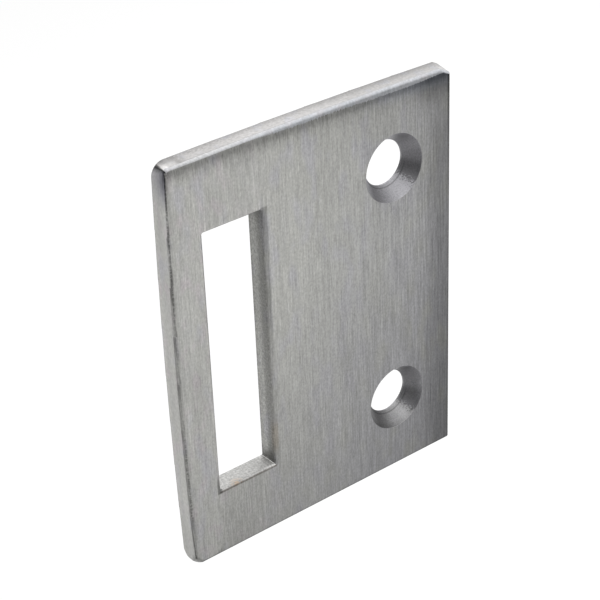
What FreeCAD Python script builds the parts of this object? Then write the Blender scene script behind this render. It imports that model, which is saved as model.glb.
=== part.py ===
import FreeCAD, Part
import math
import os

# Door strike plate: one flat stainless steel plate that is screwed to a door frame with its back face
# against the wood. The latch bolt enters the tall slot beside the left edge, and two countersunk screws
# stand in a column near the right edge.
# The back face lies in the plane y = 0, the front face looks along -Y, and +Z is up. The origin is the
# middle of the two screw holes, on the back face. All lengths are in millimetres.

# Plate, measured without the crowns of its left and top edges
plate_width = 46.55
plate_height = 59.8
plate_thickness = 3.0

# The left and top edges were ground by hand, so each swells a little towards its middle, and the top edge
# also rises towards the left
left_edge_crown = 0.5
top_edge_crown = 0.22
top_edge_rise = 0.15

# Corner roundings, seen from the front. The upper left one dies away towards the front face.
upper_left_back_radius = 2.0
upper_left_front_radius = 0.6
lower_left_corner_radius = 0.6
right_corner_radius = 0.25

# The lower left corner is also dubbed like a barrel, whose axis goes through the plate beside the corner.
# Its ends lie in the two faces and reach a little past the edges, and it swells in between.
barrel_end_radius = 2.5
barrel_reach_past_edges = 0.1
barrel_swell = 0.7

# A slanting facet is ground off the upper right corner. It lowers the corner by these amounts at the back
# and at the front, and rises towards the left by the slope for each millimetre.
facet_drop_at_back = 0.35
facet_drop_at_front = 0.9
facet_slope = 0.5

# The brushing belt rolled over the top edge, so the front face falls away there along an arc
roll_off_height = 1.65
roll_off_radius = 8.0

# Rounding where the faces meet the front, and the lighter one round the back
front_edge_radius = 0.4
back_edge_radius = 0.15
slot_rim_radius = 0.4
screw_rim_radius = 0.15

# Slot for the latch bolt
slot_width = 9.3
slot_height = 39.3
slot_from_left_edge = 4.85
slot_above_middle = 0.2
slot_corner_radius = 0.2

# Screw holes: a cone from the front, a short cylinder, and a deburred rim on the back face
screw_hole_diameter = 6.6
screw_hole_cylinder_length = 0.3
countersink_diameter = 9.9
back_rim_chamfer = 0.4
screw_hole_spacing = 36.6
screw_hole_from_right_edge = 10.15
screw_holes_below_middle = 0.05

# How far a cutting solid runs past the face that it cuts
overrun = 1.0

left_x = screw_hole_from_right_edge - plate_width
right_x = screw_hole_from_right_edge
bottom_z = screw_holes_below_middle - plate_height / 2
top_z = screw_holes_below_middle + plate_height / 2
top_left_z = top_z + top_edge_rise
middle_x = (left_x + right_x) / 2
front_y = -plate_thickness
slot_left_x = left_x + slot_from_left_edge
slot_bottom_z = slot_above_middle - slot_height / 2
screw_hole_r = screw_hole_diameter / 2
countersink_r = countersink_diameter / 2

# Edges are told apart by their places, to this much, and a front face leans back by less than this angle
tolerance = 0.001
front_lean_limit_degrees = 25.0


def point(x, z, y=0.0):
    return FreeCAD.Vector(x, y, z)


def plate_blank():
    """The plate before its corners are rounded, with its two crowned edges as arcs."""
    lower_left = point(left_x, bottom_z)
    lower_right = point(right_x, bottom_z)
    upper_right = point(right_x, top_z)
    upper_left = point(left_x, top_left_z)
    top_middle = point(middle_x, (top_z + top_left_z) / 2 + top_edge_crown)
    left_middle = point(left_x - left_edge_crown, (top_left_z + bottom_z) / 2)
    edges = [
        Part.LineSegment(lower_left, lower_right).toShape(),
        Part.LineSegment(lower_right, upper_right).toShape(),
        Part.Arc(upper_right, top_middle, upper_left).toShape(),
        Part.Arc(upper_left, left_middle, lower_left).toShape(),
    ]
    return Part.Face(Part.Wire(edges)).extrude(FreeCAD.Vector(0, front_y, 0))


def corner_edge(solid, x, z):
    """The edge that goes through the thickness of the plate at the place x, z."""
    for edge in solid.Edges:
        near_x = max(abs(edge.BoundBox.XMin - x), abs(edge.BoundBox.XMax - x)) < tolerance
        near_z = max(abs(edge.BoundBox.ZMin - z), abs(edge.BoundBox.ZMax - z)) < tolerance
        if near_x and near_z:
            return edge


def round_corners(solid):
    """The upright edges rounded, with the upper left radius set from its two ends."""
    tapered = corner_edge(solid, left_x, top_left_z)
    radii = [upper_left_front_radius, upper_left_back_radius]
    if tapered.Vertexes[0].Point.y > front_y / 2:
        radii.reverse()
    solid = solid.makeFillet(radii[0], radii[1], [tapered])
    solid = solid.makeFillet(lower_left_corner_radius, [corner_edge(solid, left_x, bottom_z)])
    for z in (bottom_z, top_z):
        solid = solid.makeFillet(right_corner_radius, [corner_edge(solid, right_x, z)])
    return solid


def barrel_waste():
    """What the dubbing takes off the lower left corner: a block with the barrel left out."""
    end_back = point(barrel_end_radius, 0.0)
    end_front = point(barrel_end_radius, 0.0, front_y)
    swell = point(barrel_end_radius + barrel_swell, 0.0, front_y / 2)
    edges = [
        Part.Arc(end_back, swell, end_front).toShape(),
        Part.LineSegment(end_front, point(0.0, 0.0, front_y)).toShape(),
        Part.LineSegment(point(0.0, 0.0, front_y), point(0.0, 0.0)).toShape(),
        Part.LineSegment(point(0.0, 0.0), end_back).toShape(),
    ]
    barrel = Part.Face(Part.Wire(edges)).revolve(point(0.0, 0.0), FreeCAD.Vector(0, 1, 0), 360)
    from_edges = barrel_end_radius - barrel_reach_past_edges
    barrel.translate(point(left_x + from_edges, bottom_z + from_edges))
    side = from_edges + overrun
    corner = point(left_x - overrun, bottom_z - overrun, front_y)
    return Part.makeBox(side, plate_thickness, side, corner).cut(barrel)


def facet_waste():
    """What the facet takes off the upper right corner: a block that stands on the facet's plane."""
    back_corner = point(right_x, top_z - facet_drop_at_back)
    fall_to_front = (facet_drop_at_front - facet_drop_at_back) / plate_thickness
    normal = FreeCAD.Vector(facet_slope, -fall_to_front, 1.0)
    length = plate_width + 2 * overrun
    width = 2 * (plate_thickness + overrun)
    block = Part.makeBox(length, width, plate_thickness, point(-plate_width, 0.0, -width / 2))
    block.Placement = FreeCAD.Placement(back_corner, FreeCAD.Rotation(FreeCAD.Vector(0, 0, 1), normal))
    return block


def roll_off_waste():
    """What the belt takes off along the top of the front face: a bar with a round trough in it."""
    length = plate_width + 2 * (left_edge_crown + overrun)
    start_x = left_x - left_edge_crown - overrun
    start_z = top_z - roll_off_height
    height = roll_off_height + top_edge_rise + top_edge_crown + overrun
    bar = Part.makeBox(length, roll_off_radius + overrun, height, point(start_x, start_z, front_y - overrun))
    axis_start = point(start_x, start_z, front_y + roll_off_radius)
    return bar.cut(Part.makeCylinder(roll_off_radius, length, axis_start, FreeCAD.Vector(1, 0, 0)))


def faces_front(face):
    u_first, u_last, v_first, v_last = face.ParameterRange
    normal = face.normalAt((u_first + u_last) / 2, (v_first + v_last) / 2)
    return normal.getAngle(FreeCAD.Vector(0, -1, 0)) < math.radians(front_lean_limit_degrees)


def ease_edges(solid):
    """Rounds the outline of the front faces, and the outline of the back face."""
    of_front = [edge for face in solid.Faces if faces_front(face) for edge in face.Edges]
    outline = [edge for edge in of_front if sum(edge.isSame(other) for other in of_front) == 1]
    solid = solid.makeFillet(front_edge_radius, outline)
    back_outline = [edge for edge in solid.Edges if edge.BoundBox.YMin > -tolerance]
    return solid.makeFillet(back_edge_radius, back_outline)


def slot_cutter():
    """A bar with the slot's section and rounded corners that runs past both faces."""
    length = plate_thickness + 2 * overrun
    bar = Part.makeBox(slot_width, length, slot_height, point(slot_left_x, slot_bottom_z, front_y - overrun))
    long_edges = [edge for edge in bar.Edges if edge.BoundBox.YLength > length / 2]
    return bar.makeFillet(slot_corner_radius, long_edges)


def screw_hole_cutter(z):
    """The hole's half section from back to front, turned about its axis."""
    cylinder_back = -back_rim_chamfer
    cylinder_front = cylinder_back - screw_hole_cylinder_length
    section = [
        point(0.0, z),
        point(screw_hole_r + back_rim_chamfer, z),
        point(screw_hole_r, z, cylinder_back),
        point(screw_hole_r, z, cylinder_front),
        point(countersink_r, z, front_y),
        point(0.0, z, front_y),
        point(0.0, z),
    ]
    face = Part.Face(Part.makePolygon(section))
    return face.revolve(point(0.0, z), FreeCAD.Vector(0, 1, 0), 360)


def lies_in_front_face(edge):
    return max(abs(edge.BoundBox.YMin - front_y), abs(edge.BoundBox.YMax - front_y)) < tolerance


def round_front_rim(solid, middle_x, middle_z, half_width, half_height, radius):
    """Rounds the rim in the front face that lies within these half sizes of its middle."""
    rim = []
    for edge in solid.Edges:
        middle = edge.BoundBox.Center
        across = abs(middle.x - middle_x) < half_width + tolerance
        along = abs(middle.z - middle_z) < half_height + tolerance
        if lies_in_front_face(edge) and across and along:
            rim.append(edge)
    return solid.makeFillet(radius, rim)


def strike_plate():
    solid = round_corners(plate_blank())
    for waste in (barrel_waste(), facet_waste(), roll_off_waste()):
        solid = solid.cut(waste)
    solid = ease_edges(solid)
    solid = solid.cut(slot_cutter())
    slot_middle_x = slot_left_x + slot_width / 2
    solid = round_front_rim(
        solid, slot_middle_x, slot_above_middle, slot_width / 2, slot_height / 2, slot_rim_radius
    )
    for z in (screw_hole_spacing / 2, -screw_hole_spacing / 2):
        solid = solid.cut(screw_hole_cutter(z))
        solid = round_front_rim(solid, 0.0, z, countersink_r, countersink_r, screw_rim_radius)
    return solid


os.makedirs("parts", exist_ok=True)
plate = strike_plate()
plate.exportStep("parts/strike_plate.step")
print("solids", len(plate.Solids), "valid", plate.isValid(), "volume mm3", round(plate.Volume, 1))
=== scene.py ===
import bpy
import math
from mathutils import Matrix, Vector

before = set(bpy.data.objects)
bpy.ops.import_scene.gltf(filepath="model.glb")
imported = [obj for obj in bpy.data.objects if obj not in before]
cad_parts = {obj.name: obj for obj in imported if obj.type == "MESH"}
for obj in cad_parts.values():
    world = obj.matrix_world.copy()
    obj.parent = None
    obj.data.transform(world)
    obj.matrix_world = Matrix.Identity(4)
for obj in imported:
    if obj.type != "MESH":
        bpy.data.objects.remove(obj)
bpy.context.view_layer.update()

# Camera. The photograph looks at the plate from the front, from well left of it and from above, through a
# long lens. The place is in metres in the plate's frame, whose origin lies between the two screw holes.
camera_place = (-0.14108, -0.16562, 0.12464)
camera_turn_deg = (59.574, 2.134, -38.640)
camera_lens_mm = 107.51
camera_sensor_mm = 36.0

bpy.ops.object.select_all(action="DESELECT")
bpy.ops.object.camera_add(
    location=camera_place,
    rotation=[math.radians(angle) for angle in camera_turn_deg],
)
camera = bpy.context.object
camera.name = "photo_camera"
camera.data.lens = camera_lens_mm
camera.data.sensor_width = camera_sensor_mm
bpy.context.scene.camera = camera
bpy.context.scene.view_settings.view_transform = "Standard"

# Table top. A round white table stands below the plate. The front of the plate and its left edge mirror
# it, and it shows white behind the plate.
table_height = -0.20
table_radius = 0.95
table_sides = 96
table_white = (0.80, 0.80, 0.80, 1.0)
table_glow = 0.30


def add_node(tree, kind, **settings):
    """A node with its settings, given by their names."""
    node = tree.nodes.new(kind)
    for name, setting in settings.items():
        setattr(node, name, setting)
    return node


def new_material(name):
    """An empty node material with its output, ready for shaders."""
    material = bpy.data.materials.new(name)
    material.use_nodes = True
    material.node_tree.nodes.clear()
    output = add_node(material.node_tree, "ShaderNodeOutputMaterial")
    return material, output


def give(tree, socket, item):
    """Sets an input to a plain number or colour, or links it to a socket."""
    if isinstance(item, bpy.types.NodeSocket):
        tree.links.new(item, socket)
    else:
        socket.default_value = item


def maths(tree, operation, *given):
    """The result of a Math node on sockets and plain numbers."""
    node = add_node(tree, "ShaderNodeMath", operation=operation)
    for socket, item in zip(node.inputs, given):
        give(tree, socket, item)
    return node.outputs["Value"]


def seen_directly(tree):
    """1 for what the camera sees directly, in metal or through glass, and 0 for light on matt things."""
    light_path = add_node(tree, "ShaderNodeLightPath")
    direct = maths(tree, "ADD", light_path.outputs["Is Camera Ray"], light_path.outputs["Is Glossy Ray"])
    direct = maths(tree, "ADD", direct, light_path.outputs["Is Transmission Ray"])
    return maths(tree, "MINIMUM", direct, 1.0)


bpy.ops.mesh.primitive_circle_add(
    vertices=table_sides, radius=table_radius, fill_type="NGON", location=(0.0, 0.0, table_height)
)
table = bpy.context.object
table.name = "table_top"
table_paint, table_output = new_material("table_white")
tree = table_paint.node_tree
matt_white = add_node(tree, "ShaderNodeBsdfDiffuse")
matt_white.inputs["Color"].default_value = table_white
glow = add_node(tree, "ShaderNodeEmission")
tree.links.new(maths(tree, "MULTIPLY", seen_directly(tree), table_glow), glow.inputs["Strength"])
together = add_node(tree, "ShaderNodeAddShader")
tree.links.new(matt_white.outputs["BSDF"], together.inputs[0])
tree.links.new(glow.outputs["Emission"], together.inputs[1])
tree.links.new(together.outputs["Shader"], table_output.inputs["Surface"])
table.data.materials.append(table_paint)

# Backdrop. The room behind the table is white all round, and gives a soft light from every side.
backdrop_white = (1.0, 1.0, 1.0, 1.0)
backdrop_light = 0.75

backdrop = bpy.data.worlds.new("white_backdrop")
bpy.context.scene.world = backdrop
backdrop.use_nodes = True
tree = backdrop.node_tree
tree.nodes.clear()
backdrop_output = add_node(tree, "ShaderNodeOutputWorld")
soft_light = add_node(tree, "ShaderNodeBackground")
soft_light.inputs["Color"].default_value = backdrop_white
brightness = maths(tree, "MULTIPLY_ADD", seen_directly(tree), 1.0 - backdrop_light, backdrop_light)
tree.links.new(brightness, soft_light.inputs["Strength"])
tree.links.new(soft_light.outputs["Background"], backdrop_output.inputs["Surface"])

# Softbox. One wide round softbox hangs over the plate on the right. It gives the light of the top edge and
# of the rounding under it.
softbox_toward = Vector((0.65, 0.10, 0.75))
softbox_distance = 0.5
softbox_size = 1.1
softbox_power = 1.4

bpy.ops.object.light_add(type="AREA", location=softbox_toward * softbox_distance)
softbox = bpy.context.object
softbox.name = "softbox"
softbox.data.shape = "DISK"
softbox.data.size = softbox_size
softbox.data.energy = softbox_power
softbox.rotation_euler = softbox_toward.to_track_quat("Z", "Y").to_euler()
softbox.visible_camera = False

# Grey boards. They stand round the table out of the picture, as they do for photographs of polished
# metal, and draw the dark lines along the rounded edges. Each has the direction of its middle in degrees,
# its distance, its width, the heights of its lower and upper edge, and its grey.
boards = {
    "board_front": (-45.0, 0.35, 0.42, -0.094, -0.025, 0.45),
    "board_right": (3.0, 0.25, 0.22, -0.190, 0.070, 0.10),
    "board_left": (-160.0, 0.15, 0.11, -0.190, 0.055, 0.20),
}
quarter_turn = math.radians(90.0)

for name, (turn_deg, distance, width, lower, upper, grey) in boards.items():
    turn = math.radians(turn_deg)
    bpy.ops.mesh.primitive_plane_add(
        size=1.0,
        location=(distance * math.cos(turn), distance * math.sin(turn), (lower + upper) / 2),
        rotation=(quarter_turn, 0.0, turn + quarter_turn),
    )
    board = bpy.context.object
    board.name = name
    board.scale = (width, upper - lower, 1.0)
    board_paint, board_output = new_material(name)
    matt_grey = add_node(board_paint.node_tree, "ShaderNodeBsdfDiffuse")
    matt_grey.inputs["Color"].default_value = (grey, grey, grey, 1.0)
    board_paint.node_tree.links.new(matt_grey.outputs["BSDF"], board_output.inputs["Surface"])
    board.data.materials.append(board_paint)
    board.visible_camera = False
    board.visible_diffuse = False
    board.visible_shadow = False

# Strike plate. One flat plate of stainless steel, 3 mm thick, belt-brushed along its height, with edges
# eased by hand and two turned countersinks. Its shape is the CAD node's, and this is the look of its steel.
# Places are in millimetres in its frame, angles in degrees, and tones are the share of light given back.
mm_per_metre = 1000.0
left_edge_x = -36.4
left_edge_crown = 0.5
right_edge_x = 10.15
bottom_edge_z = -29.85
top_edge_z = 29.95
top_edge_rise = 0.15
top_edge_crown = 0.22
plate_middle_x = -13.1
plate_middle_z = 0.1
plate_half_width = 23.3
plate_half_height = 30.0
slot_left_x = -31.55
slot_right_x = -22.25
slot_floor_z = -19.45
slot_top_z = 19.85
screw_hole_z = 18.3
countersink_reach = 5.2

# The direction of a face tells which face it is. These slopes part the top edge from the left edge and
# from the front, and the left edge and the slot's walls from the front.
corner_slope = 1.12
arris_slope = 0.36
wall_slope = -0.9

steel, steel_output = new_material("satin_steel")
tree = steel.node_tree


def product(*given):
    """All the given values multiplied together."""
    result = given[0]
    for item in given[1:]:
        result = maths(tree, "MULTIPLY", result, item)
    return result


def total(*given):
    """All the given values added together."""
    result = given[0]
    for item in given[1:]:
        result = maths(tree, "ADD", result, item)
    return result


def shifted(given, amount):
    """The value plus the amount."""
    return maths(tree, "ADD", given, amount)


def scaled(given, factor, amount):
    """The value times the factor, plus the amount."""
    return maths(tree, "MULTIPLY_ADD", given, factor, amount)


def minus(first, second):
    """The first value less the second."""
    return maths(tree, "SUBTRACT", first, second)


def larger(first, second):
    """The larger of the two values."""
    return maths(tree, "MAXIMUM", first, second)


def smooth_step(given, start, end, low=0.0, high=1.0):
    """Goes smoothly from low to high while the given value goes from start to end."""
    node = add_node(tree, "ShaderNodeMapRange", interpolation_type="SMOOTHSTEP")
    tree.links.new(given, node.inputs["Value"])
    for name, item in (("From Min", start), ("From Max", end), ("To Min", low), ("To Max", high)):
        node.inputs[name].default_value = item
    return node.outputs["Result"]


def near(given, middle, inner, outer, low=0.0, high=1.0):
    """High where the value is within inner of the middle, and low from outer on."""
    return smooth_step(maths(tree, "ABSOLUTE", shifted(given, -middle)), outer, inner, low, high)


def between(given, rise_start, rise_end, fall_start, fall_end):
    """Rises smoothly from 0 to 1 over the first two places, and falls back over the last two."""
    return product(smooth_step(given, rise_start, rise_end), smooth_step(given, fall_end, fall_start))


def darkened(mask, tone):
    """A factor that is 1 where the mask is 0, and the tone where the mask is 1."""
    return scaled(mask, tone - 1.0, 1.0)


def uneven(pattern, strength):
    """A factor about 1 that follows the noise."""
    return scaled(pattern, strength, 1.0 - strength / 2)


def noise(grain_size, detail, seed=0.0):
    """Noise about 0.5 whose grains have this size along X, Y and Z in millimetres."""
    stretch = add_node(tree, "ShaderNodeMapping")
    tree.links.new(place, stretch.inputs["Vector"])
    stretch.inputs["Scale"].default_value = [1.0 / size for size in grain_size]
    stretch.inputs["Location"].default_value = (seed, 0.0, seed)
    pattern = add_node(tree, "ShaderNodeTexNoise")
    tree.links.new(stretch.outputs["Vector"], pattern.inputs["Vector"])
    pattern.inputs["Scale"].default_value = 1.0
    pattern.inputs["Detail"].default_value = detail
    return pattern.outputs["Fac"]


def distance_from(spot):
    """How far a point of the plate is from this spot."""
    node = add_node(tree, "ShaderNodeVectorMath", operation="DISTANCE")
    tree.links.new(place, node.inputs[0])
    node.inputs[1].default_value = spot
    return node.outputs["Value"]


def over(under, on_top, mask):
    """One value over another where the mask is 1."""
    node = add_node(tree, "ShaderNodeMix", data_type="FLOAT")
    tree.links.new(mask, node.inputs["Factor"])
    give(tree, node.inputs[2], under)
    give(tree, node.inputs[3], on_top)
    return node.outputs[0]


def tinted(under, on_top, mask):
    """One colour over another where the mask is 1."""
    node = add_node(tree, "ShaderNodeMix", data_type="RGBA")
    tree.links.new(mask, node.inputs["Factor"])
    give(tree, node.inputs[6], under)
    give(tree, node.inputs[7], on_top)
    return node.outputs[2]


looks = add_node(tree, "ShaderNodeTexCoord")
in_millimetres = add_node(tree, "ShaderNodeMapping")
in_millimetres.inputs["Scale"].default_value = (mm_per_metre, mm_per_metre, mm_per_metre)
tree.links.new(looks.outputs["Object"], in_millimetres.inputs["Vector"])
place = in_millimetres.outputs["Vector"]
split_place = add_node(tree, "ShaderNodeSeparateXYZ")
tree.links.new(place, split_place.inputs["Vector"])
x, y, z = split_place.outputs
split_normal = add_node(tree, "ShaderNodeSeparateXYZ")
tree.links.new(looks.outputs["Normal"], split_normal.inputs["Vector"])
facing_x, facing_y, facing_z = split_normal.outputs

# Where each face of the plate is
above_left = scaled(facing_x, corner_slope, facing_z)
above_front = scaled(facing_y, arris_slope, facing_z)
on_top = product(smooth_step(above_left, -0.02, 0.04), smooth_step(above_front, -0.03, 0.03))
near_left_edge = smooth_step(x, left_edge_x + 2.9, left_edge_x + 1.9)
toward_left = product(
    smooth_step(scaled(facing_y, wall_slope, facing_x), 0.05, -0.05), smooth_step(facing_y, 0.85, 0.60)
)
on_left_edge = product(toward_left, near_left_edge, minus(1.0, on_top))
on_slot_wall = product(toward_left, minus(1.0, near_left_edge))
on_slot_floor = product(on_top, smooth_step(z, slot_top_z + 5.15, slot_top_z + 0.15))
off_the_front = smooth_step(larger(facing_y, larger(facing_x, product(facing_z, -1.0))), 0.80, 0.95)
near_front = smooth_step(y, -2.45, -2.60)

# Brushing. The belt left fine, middling and broad streaks along the height, coarser ones on the right
# where it pressed harder, and its grit a fine speckle. The edges, dressed by hand, are mottled.
fine_streaks = noise((0.13, 0.13, 3.2), 2.0)
short_streaks = noise((0.22, 0.22, 3.0), 2.0, seed=11.0)
middle_streaks = noise((0.38, 0.38, 12.0), 2.0, seed=7.0)
coarse_streaks = noise((0.30, 0.30, 9.0), 3.0, seed=13.0)
broad_streaks = noise((1.5, 1.5, 30.0), 1.0, seed=3.0)
grit = noise((0.22, 0.22, 0.35), 2.0, seed=41.0)
mottle = noise((0.32, 0.32, 0.5), 3.0, seed=5.0)

pressed_harder = product(smooth_step(x, -18.0, 8.0), shifted(coarse_streaks, -0.5))
brushed = product(
    uneven(fine_streaks, 0.80), uneven(grit, 0.60), uneven(middle_streaks, 0.40),
    uneven(broad_streaks, 0.22), scaled(pressed_harder, 0.85, 1.0),
)

# Front face. Painted shade makes it darker to the right and downwards, and darkest along the right edge and
# its arris. The lower left is painted a little lighter.
front_left_tone = 0.434
front_right_tone = 0.327
full_tone_above_z = 10.0
tone_fall_per_mm = 0.0095
right_edge_shade_tone = 0.62
right_arris_shade_tone = 0.40
low_right_tone = 0.90
low_left_tone = 1.14

falls_to_right = smooth_step(x, -23.0, 9.0, front_left_tone, front_right_tone)
tone_at_origin = 1.0 - full_tone_above_z * tone_fall_per_mm
falls_downwards = scaled(maths(tree, "MINIMUM", z, full_tone_above_z), tone_fall_per_mm, tone_at_origin)
painted_right_edge_shade = product(
    smooth_step(x, 3.2, 9.0), smooth_step(z, 20.0, 27.0, 1.0, 0.6), uneven(middle_streaks, 0.9)
)
painted_right_arris_shade = product(
    smooth_step(x, right_edge_x - 0.75, right_edge_x - 0.40), smooth_step(y, -2.4, -2.6),
    smooth_step(z, 16.0, 28.0, 0.30, 1.0),
)
low_right = product(smooth_step(x, 1.0, 9.0), smooth_step(z, -2.0, -24.0))
low_left = product(smooth_step(x, -30.0, -33.0), smooth_step(z, 2.0, -14.0))
front_tone = product(
    falls_to_right, falls_downwards, darkened(painted_right_edge_shade, right_edge_shade_tone),
    darkened(painted_right_arris_shade, right_arris_shade_tone), darkened(low_right, low_right_tone),
    darkened(low_left, low_left_tone),
)

# Painted light below the top edge. A ragged strip of the arris is painted bright, a painted highlight, and
# the front below it has a streaky band of painted shade, darkest in the right corner.
shade_band_tone = 0.74
corner_shade_tone = 0.56

across_top = product(shifted(x, -plate_middle_x), 1.0 / plate_half_width)
top_bulge = product(across_top, across_top, -top_edge_crown)
top_slant = product(across_top, -top_edge_rise / 2)
local_top = total(top_bulge, top_slant, top_edge_z + top_edge_rise / 2 + top_edge_crown)
below_top = minus(local_top, z)

ragged = shifted(short_streaks, -0.5)
ragged_depth = product(scaled(ragged, 5.0, below_top), smooth_step(x, -34.0, -24.0, 1.3, 1.0))
painted_shade_band = product(smooth_step(ragged_depth, 4.0, 0.3), uneven(coarse_streaks, 1.6))
painted_corner_shade = product(smooth_step(below_top, 6.5, 0.5), smooth_step(x, 0.5, 6.5))
front_tone = product(
    front_tone, darkened(painted_shade_band, shade_band_tone), darkened(painted_corner_shade, corner_shade_tone)
)

highlight_depth = total(
    smooth_step(x, -34.0, -14.0, -0.10, 0.66), smooth_step(x, -9.0, -4.0, 0.0, 0.14),
    smooth_step(x, 2.0, 9.0, 0.0, -0.24), product(ragged, smooth_step(x, -8.0, 2.0, 0.7, 0.25)),
)
painted_highlight_strip = product(
    smooth_step(minus(below_top, highlight_depth), 0.05, -0.05),
    smooth_step(x, right_edge_x - 0.55, right_edge_x - 0.85), near_front,
)

# Left arris. A thin painted dark line with nicks, a painted shade, runs between the front and the left
# edge, and the front beside it is painted a little darker.
up_the_edge = product(shifted(z, -plate_middle_z), 1.0 / plate_half_height)
left_crown = scaled(product(up_the_edge, up_the_edge), left_edge_crown, -left_edge_crown)
from_left_edge = minus(shifted(x, -left_edge_x), left_crown)
nicks = noise((0.5, 0.5, 0.30), 3.0, seed=21.0)
painted_left_line = product(
    near(y, -2.86, 0.02, 0.16), smooth_step(from_left_edge, 0.7, 0.5),
    smooth_step(nicks, 0.36, 0.58, 0.40, 1.15), smooth_step(z, 22.0, 28.0, 0.90, 0.70),
    near(z, 0.0, 6.0, 12.0, 1.0, 0.38), smooth_step(z, -27.0, -20.0, 0.20, 1.0),
)
painted_shade_beside_left_line = smooth_step(from_left_edge, 1.2, 0.3)

# Bottom arris. A painted dark line, a painted shade, runs along it and round the dubbed corner at its left
# end.
dubbing_centre = (-34.0, -2.8, -27.5)

painted_bottom_line = product(smooth_step(z, bottom_edge_z + 0.50, bottom_edge_z + 0.25), near_front)
painted_corner_rim_line = product(
    smooth_step(distance_from(dubbing_centre), 2.05, 2.45), smooth_step(z, -27.9, -28.9),
    smooth_step(x, -31.0, -33.0), smooth_step(y, -1.8, -2.4),
)

# Rims of the slot, in painted shade. The front beside the right wall is painted darker, the sill has a
# broken painted dark line along its front, and the left rim is painted dark where it comes down to the
# sill.
painted_shade_beside_slot = product(
    between(x, slot_right_x - 0.35, slot_right_x - 0.05, slot_right_x + 0.55, slot_right_x + 1.00),
    between(z, slot_floor_z - 0.55, slot_floor_z + 0.05, slot_top_z + 0.25, slot_top_z + 0.55),
    smooth_step(z, -6.0, 8.0, 0.4, 1.0),
)
painted_sill_line = product(
    between(z, slot_floor_z - 0.55, slot_floor_z - 0.40, slot_floor_z - 0.25, slot_floor_z - 0.11),
    between(x, slot_left_x - 0.45, slot_left_x - 0.05, slot_right_x + 0.05, slot_right_x + 0.45),
    near_front, uneven(short_streaks, 1.6), smooth_step(x, -29.0, -23.0, 1.0, 0.75),
)
painted_sill_corner_shade = product(
    between(x, slot_left_x - 0.65, slot_left_x - 0.45, slot_left_x + 0.15, slot_left_x + 0.35),
    between(z, slot_floor_z - 0.65, slot_floor_z - 0.35, slot_floor_z + 0.95, slot_floor_z + 3.45),
    near_front,
)

# Top edge. Its light is painted: a painted highlight makes it brightest at the front and on the left, and
# painted shade makes it dull along its back. Its rounded left end catches more light, so the steel there is
# darker to stay even, and its very end is painted lighter.
top_back_tone = 0.38
top_front_tone = 0.76
top_left_share = 1.57
top_right_share = 0.715
left_end_share = 0.42
back_line_share = 0.55
arris_left_tone = 0.50
arris_right_tone = 0.48

top_tone = product(
    smooth_step(y, -0.1, -2.3, top_back_tone, top_front_tone),
    smooth_step(y, 0.0, -0.30, back_line_share, 1.0),
    smooth_step(x, -36.0, 4.0, top_left_share, top_right_share),
    smooth_step(x, -32.0, -34.5, 1.0, left_end_share), smooth_step(x, -35.0, -35.7, 1.0, 1.75),
    uneven(mottle, 0.7),
)
arris_tone = product(
    smooth_step(x, -34.0, -20.0, arris_left_tone, arris_right_tone), uneven(mottle, 0.7)
)
top_tone = over(arris_tone, top_tone, smooth_step(y, -2.60, -2.15))

# Left edge. It is dressed satin, with painted shade below the crease where it meets the top edge, a painted
# dark line in the crease, and painted shade towards its bottom and its back.
left_edge_tone = 0.43
left_edge_low_tone = 0.375
left_shade_tone = 0.38
below_crease_shade_tone = 0.50

on_corner = smooth_step(facing_x, -0.35, -0.45)
from_crease = product(maths(tree, "ABSOLUTE", above_left), smooth_step(y, -2.4, -0.6, 0.85, 0.60))
painted_crease_line = product(smooth_step(from_crease, 0.20, 0.04), on_corner)
painted_shade_below_crease = product(smooth_step(above_left, -0.85, -0.20), on_corner)
left_shade = product(
    smooth_step(z, 23.8, 29.0), smooth_step(y, -0.6, -2.6, 0.36, 1.06), uneven(middle_streaks, 1.1)
)
left_tone = product(
    smooth_step(z, -18.0, -27.0, left_edge_tone, left_edge_low_tone),
    smooth_step(z, -29.0, -29.6, 1.0, 0.7), smooth_step(y, -0.05, -0.30, 0.6, 1.0),
    uneven(mottle, 0.6), uneven(broad_streaks, 0.4),
    darkened(left_shade, left_shade_tone), darkened(painted_shade_below_crease, below_crease_shade_tone),
)

# Walls of the slot. They were punched and not brushed, so they are specked. The right wall has a stripe of
# painted shade along the front, and painted shade makes the walls darker towards the slot's ends, upwards
# and along their back, while their front rim is painted lighter. The floor is painted lighter towards the
# right wall.
wall_low_tone = 0.41
wall_high_tone = 0.34
shade_stripe_tone = 0.68
floor_left_tone = 0.54
floor_right_tone = 0.72

specks = noise((0.25, 0.25, 0.30), 2.0, seed=17.0)
painted_shade_stripe = product(smooth_step(y, -1.1, -2.1), smooth_step(y, -2.95, -2.60), uneven(mottle, 1.7))
wall_tone = product(
    smooth_step(z, -6.0, 8.0, wall_low_tone, wall_high_tone),
    darkened(painted_shade_stripe, shade_stripe_tone), uneven(mottle, 1.0), uneven(specks, 1.2),
    smooth_step(z, slot_floor_z + 0.05, slot_floor_z + 2.45, 0.5, 1.0),
    smooth_step(z, slot_top_z - 0.05, slot_top_z - 3.35, 0.7, 1.0),
    smooth_step(y, -2.6, -2.8, 1.0, 1.2), smooth_step(y, -0.1, -0.5, 0.84, 1.0),
)
floor_tone = product(uneven(mottle, 1.2), smooth_step(x, -24.5, -22.3, floor_left_tone, floor_right_tone))

# Countersinks. They were turned with a chattering tool. Their light and shade are painted: going round each
# cone the tone drops suddenly on the right, along a speckled line, and slowly on the left, and the lower
# one has a painted highlight along the right of its rim.
cone_lit_tone = 0.54
cone_shaded_tone = 0.155
left_fade_tone = 0.72
low_left_fade_tone = 0.84
upper_right_tone = 0.84
rim_fade_tone = 0.82
rim_highlight_tone = 1.45
darkest_tone = 0.80
inner_line_tone = 0.65
cylinder_rim_r = 3.55

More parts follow.
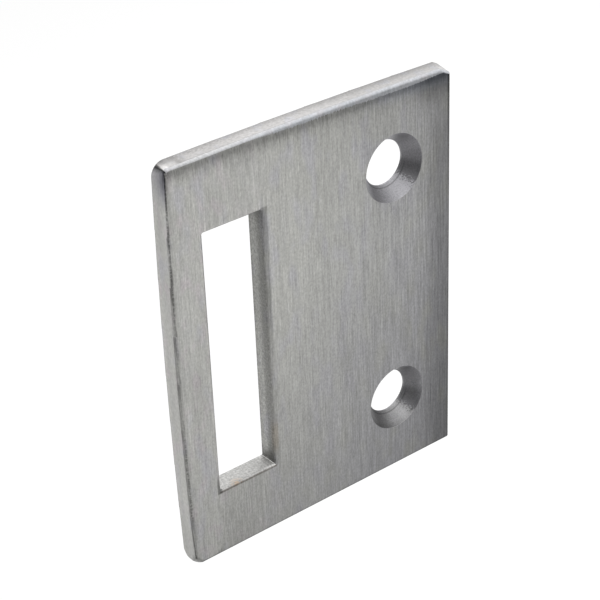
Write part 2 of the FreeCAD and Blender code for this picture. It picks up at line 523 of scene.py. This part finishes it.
from_hole_z = minus(z, product(maths(tree, "SIGN", z), screw_hole_z))
from_hole = add_node(tree, "ShaderNodeCombineXYZ")
tree.links.new(x, from_hole.inputs["X"])
tree.links.new(from_hole_z, from_hole.inputs["Z"])
hole_length = add_node(tree, "ShaderNodeVectorMath", operation="LENGTH")
tree.links.new(from_hole.outputs["Vector"], hole_length.inputs[0])
hole_distance = hole_length.outputs["Value"]
hole_angle = maths(tree, "DEGREES", maths(tree, "ARCTAN2", from_hole_z, x))
in_countersink = product(
    smooth_step(hole_distance, countersink_reach + 0.1, countersink_reach),
    smooth_step(facing_y, -0.97, -0.85),
)
upper_hole = smooth_step(z, -1.0, 1.0)
lower_hole = smooth_step(z, 1.0, -1.0)

turn_marks = noise((0.2, 0.2, 0.2), 2.0, seed=9.0)
speckled_angle = scaled(shifted(turn_marks, -0.5), 50.0, hole_angle)
speckled_angle = scaled(lower_hole, 5.0, speckled_angle)
left_fade = product(smooth_step(hole_angle, -85.0, -125.0), lower_hole)
low_left_fade = product(near(hole_angle, -92.0, 10.0, 32.0), lower_hole)
upper_right = product(near(hole_angle, 34.0, 15.0, 38.0), lower_hole)
rim_fade = product(
    smooth_step(hole_distance, 4.3, 4.9), lower_hole, smooth_step(hole_angle, -30.0, -50.0)
)
painted_rim_highlight = product(
    smooth_step(hole_distance, 4.3, 4.95), lower_hole, smooth_step(hole_angle, -35.0, -18.0),
    smooth_step(hole_angle, 22.0, 0.0, 0.2, 1.0),
)
darkest = product(near(hole_angle, -17.0, 6.0, 22.0), upper_hole)
inner_line = product(near(hole_distance, cylinder_rim_r, 0.02, 0.09), smooth_step(hole_angle, 0.0, -40.0))
cone_tone = product(
    smooth_step(speckled_angle, -56.0, -36.0, cone_lit_tone, cone_shaded_tone),
    smooth_step(hole_angle, -60.0, -122.0, 1.0, 0.50), smooth_step(hole_angle, -128.0, -155.0, 1.0, 1.6),
    smooth_step(hole_angle, -22.0, 2.0, 1.0, 1.80), smooth_step(hole_angle, 55.0, 85.0, 1.0, 1.3),
    darkened(left_fade, left_fade_tone), darkened(low_left_fade, low_left_fade_tone),
    darkened(upper_right, upper_right_tone), darkened(rim_fade, rim_fade_tone),
    darkened(painted_rim_highlight, rim_highlight_tone), darkened(darkest, darkest_tone),
    darkened(inner_line, inner_line_tone), uneven(turn_marks, 0.8),
)

# Tone of the whole plate. The faces are laid over the front one by one, and the painted lines over them.
# After the back's own tone, each number is what a painted line or painted shade leaves of the tone under
# it.
back_tone = 0.42
beside_left_line_shade_tone = 0.88
beside_slot_shade_tone = 0.58
left_line_shade_tone = 0.45
bottom_line_shade_tone = 0.42
corner_rim_shade_tone = 0.62
crease_shade_tone = 0.18
sill_line_shade_tone = 0.55
sill_corner_shade_tone = 0.50

tone = product(
    front_tone, brushed, darkened(painted_shade_beside_left_line, beside_left_line_shade_tone),
    darkened(painted_shade_beside_slot, beside_slot_shade_tone),
)
tone = over(tone, product(brushed, back_tone), off_the_front)
tone = over(tone, top_tone, larger(on_top, painted_highlight_strip))
tone = over(tone, left_tone, on_left_edge)
tone = over(tone, wall_tone, on_slot_wall)
tone = over(tone, floor_tone, on_slot_floor)
tone = product(
    tone, darkened(painted_left_line, left_line_shade_tone), darkened(painted_bottom_line, bottom_line_shade_tone),
    darkened(painted_corner_rim_line, corner_rim_shade_tone), darkened(painted_crease_line, crease_shade_tone),
    darkened(painted_sill_line, sill_line_shade_tone), darkened(painted_sill_corner_shade, sill_corner_shade_tone),
)
tone = over(tone, cone_tone, in_countersink)

# Colour. The steel is a little warm at the upper left and cool at the lower right, in faint patches. The
# painted shade band at the top right is tinted bluish, and the slot has a small rust stain on its sill and
# a rust line beside its right wall.
warm_steel = (1.0, 1.0, 0.952, 1.0)
cool_steel = (0.985, 0.985, 1.015, 1.0)
yellowish_patch = (1.0, 1.0, 0.965, 1.0)
bluish_patch = (0.99, 0.985, 1.01, 1.0)
reddish_patch = (1.03, 0.98, 0.985, 1.0)
cool_band = (0.91, 0.975, 1.09, 1.0)
floor_tint = (1.0, 0.995, 0.975, 1.0)
cone_tint = (0.99, 0.98, 1.025, 1.0)
left_arris_tint = (0.985, 0.995, 1.01, 1.0)
right_arris_tint = (0.96, 0.99, 1.04, 1.0)
top_warm = (1.015, 0.992, 0.98, 1.0)
top_patch = (0.99, 0.985, 1.02, 1.0)
shade_tint = (0.96, 0.95, 1.06, 1.0)
rust_stain = (1.0, 0.80, 0.62, 1.0)
rust_along_sill = (1.0, 0.90, 0.80, 1.0)
rust_beside_wall = (1.0, 0.90, 0.76, 1.0)
stain_centre = (-28.8, -2.95, -19.5)

patches = noise((2.2, 2.2, 5.0), 1.0, seed=31.0)
reddish = noise((1.6, 1.6, 3.0), 1.0, seed=37.0)
tint = tinted(warm_steel, cool_steel, smooth_step(scaled(z, -0.4, x), -23.0, 14.0))
tint = tinted(tint, yellowish_patch, smooth_step(patches, 0.50, 0.75))
tint = tinted(tint, bluish_patch, smooth_step(patches, 0.50, 0.25))
tint = tinted(tint, reddish_patch, product(smooth_step(reddish, 0.48, 0.75), smooth_step(x, -18.0, -32.0)))
in_cool_band = product(
    smooth_step(below_top, 3.0, 0.6), smooth_step(x, -10.0, 9.0), smooth_step(y, -2.0, -2.4)
)
tint = tinted(tint, cool_band, in_cool_band)
tint = tinted(tint, floor_tint, on_slot_floor)
tint = tinted(tint, cone_tint, product(in_countersink, smooth_step(z, -1.0, 1.0, 0.5, 1.0)))

arris_tint = tinted(left_arris_tint, right_arris_tint, smooth_step(x, -30.0, -18.0))
top_tint = tinted(arris_tint, top_warm, smooth_step(y, -2.8, -2.1))
top_tint = tinted(top_tint, top_patch, smooth_step(patches, 0.50, 0.72))
tint = tinted(tint, top_tint, larger(product(on_top, smooth_step(z, 24.0, 26.0)), painted_highlight_strip))
tint = tinted(tint, shade_tint, product(left_shade, on_left_edge))

stain = product(
    smooth_step(distance_from(stain_centre), 1.35, 0.3), smooth_step(mottle, 0.42, 0.60),
    smooth_step(z, slot_floor_z - 0.50, slot_floor_z - 0.35),
)
rust_line = product(
    near(z, -15.0, 1.0, 3.5), smooth_step(y, -2.2, -2.6),
    between(x, slot_right_x - 0.25, slot_right_x + 0.15, slot_right_x + 0.55, slot_right_x + 0.95),
)
tint = tinted(tint, rust_stain, stain)
tint = tinted(tint, rust_along_sill, product(painted_sill_line, 0.5))
tint = tinted(tint, rust_beside_wall, product(rust_line, 0.6))

steel_colour = add_node(tree, "ShaderNodeVectorMath", operation="SCALE")
tree.links.new(tint, steel_colour.inputs[0])
tree.links.new(tone, steel_colour.inputs["Scale"])

# Grain. It runs along the height on the front, the back and the sides, along the length of the top and
# bottom edge, and round the countersinks. The shader takes the direction across it.
across_grain = add_node(tree, "ShaderNodeCombineXYZ")
tree.links.new(over(facing_y, x, in_countersink), across_grain.inputs["X"])
tree.links.new(over(minus(0.1, facing_x), 0.0, in_countersink), across_grain.inputs["Y"])
tree.links.new(over(0.0, from_hole_z, in_countersink), across_grain.inputs["Z"])

streak_depth_m = 6e-6
relief = add_node(tree, "ShaderNodeBump")
relief.inputs["Distance"].default_value = streak_depth_m
tree.links.new(fine_streaks, relief.inputs["Height"])

# Shine. The brushed faces are satin, and the countersinks and the slot duller.
brushed_roughness = 0.32
cone_roughness = 0.45
wall_roughness = 0.5
floor_roughness = 0.6
brushed_anisotropy = 0.6

roughness = over(brushed_roughness, cone_roughness, in_countersink)
roughness = over(roughness, wall_roughness, on_slot_wall)
roughness = over(roughness, floor_roughness, on_slot_floor)
shader = add_node(tree, "ShaderNodeBsdfPrincipled")
shader.inputs["Metallic"].default_value = 1.0
shader.inputs["Anisotropic"].default_value = brushed_anisotropy
tree.links.new(steel_colour.outputs["Vector"], shader.inputs["Base Color"])
tree.links.new(roughness, shader.inputs["Roughness"])
tree.links.new(relief.outputs["Normal"], shader.inputs["Normal"])
tree.links.new(across_grain.outputs["Vector"], shader.inputs["Tangent"])
tree.links.new(shader.outputs["BSDF"], steel_output.inputs["Surface"])
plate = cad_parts["strike_plate"]
plate.material_slots[0].material = steel
